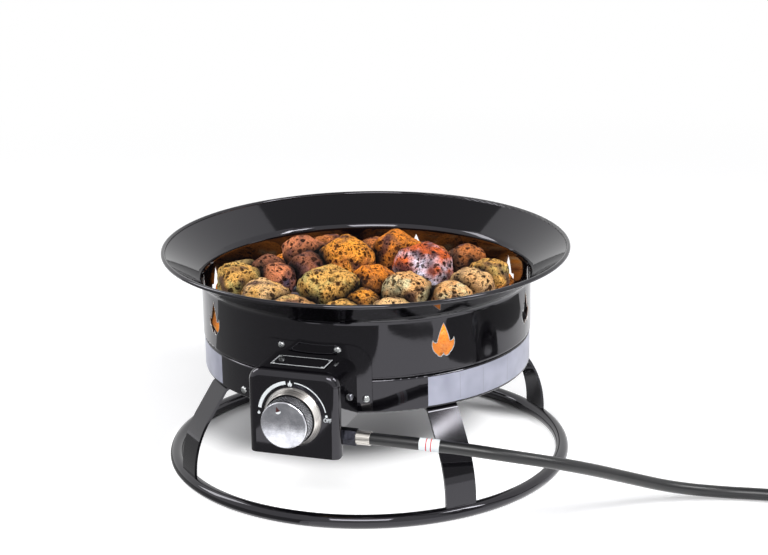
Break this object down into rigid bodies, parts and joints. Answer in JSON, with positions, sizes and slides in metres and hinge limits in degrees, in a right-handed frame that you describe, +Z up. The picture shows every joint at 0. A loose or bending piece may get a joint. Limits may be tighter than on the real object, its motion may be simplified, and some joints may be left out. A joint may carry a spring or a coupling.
{
  "type": "propane fire pit",
  "caption": "Portable round gas fire pit: flared black bowl of lava rock on a tube ring with strap legs, push-and-turn valve in a side hood, coiled hose with regulator.",
  "frame": {"origin": "on the bowl's axis at floor level, under the stand's ring", "axes": "+Z up along the bowl's axis, the control hood and knob face -Y, the hose leaves towards +X"},
  "size_m": [1.0097, 0.5198, 0.2704],
  "materials": {
    "black_enamel": "gloss enamel",
    "zinc_steel": "zinc plated",
    "satin_steel": "satin",
    "dark_chrome": "smoked, knurled",
    "bright_chrome": "polished",
    "brass": "machined",
    "black_oxide": "black oxide",
    "burner_steel": "heat-stained",
    "black_rubber": "smooth",
    "black_nylon": "matt",
    "grey_cast": "grey cast zinc",
    "wheel_plastic": "moulded",
    "lava_rock": "porous volcanic rock"
  },
  "bodies": {
    "fire_pit": {"band_screws": "zinc_steel", "base_pan": "black_enamel", "base_ring": "black_enamel", "bowl": "black_enamel", "bowl_screws": "zinc_steel", "burner_arms": "burner_steel", "burner_elbow": "burner_steel", "burner_hub": "burner_steel", "burner_locknut": "burner_steel", "burner_ring": "burner_steel", "burner_spacer": "burner_steel", "coil_tie": "black_nylon", "control_hood": "black_enamel", "dial_bezel": "satin_steel", "gas_jet": "brass", "hood_plate": "black_enamel", "hood_screws": "zinc_steel", "hose_coil": "black_rubber", "hose_ferrule": "satin_steel", "hose_run": "black_rubber", "inlet_elbow": "brass", "inlet_nut": "black_oxide", "lava_rocks_lower": "lava_rock", "lava_rocks_upper": "lava_rock", "leg_back_left": "black_enamel", "leg_back_right": "black_enamel", "leg_bolts": "zinc_steel", "leg_front_left": "black_enamel", "leg_front_right": "black_enamel", "leg_nuts": "zinc_steel", "mixer_tube": "burner_steel", "panel_nut": "brass", "plate_rivets": "zinc_steel", "regulator_body": "grey_cast", "regulator_cover": "grey_cast", "regulator_ferrule": "satin_steel", "regulator_nipple": "brass", "side_screws": "zinc_steel", "valve_body": "brass", "valve_bracket": "zinc_steel"},
    "valve_plug": {"valve_plug": "brass", "stem_spring": "satin_steel"},
    "knob": {"knob": "dark_chrome", "knob_cap": "bright_chrome", "valve_stem": "brass"},
    "handwheel": {"handwheel": "wheel_plastic"}
  },
  "joints": [
    {"name": "knob_turn", "type": "hinge", "parent": "fire_pit", "child": "valve_plug", "pos_m": [0, -0.25, 0.135], "axis": [0, -1, 0], "range_deg": [-113, 67]},
    {"name": "knob_push", "type": "slide", "parent": "valve_plug", "child": "knob", "axis": [0, 1, 0], "range_m": [0, 0.004], "stiffness_N_per_m": 1500, "springref_m": -0.002, "deforming": ["stem_spring"]},
    {"name": "handwheel_spin", "type": "hinge", "parent": "fire_pit", "child": "handwheel", "pos_m": [0.74, -0.02, 0.02275], "axis": [1, 0, 0], "continuous": true}
  ]
}
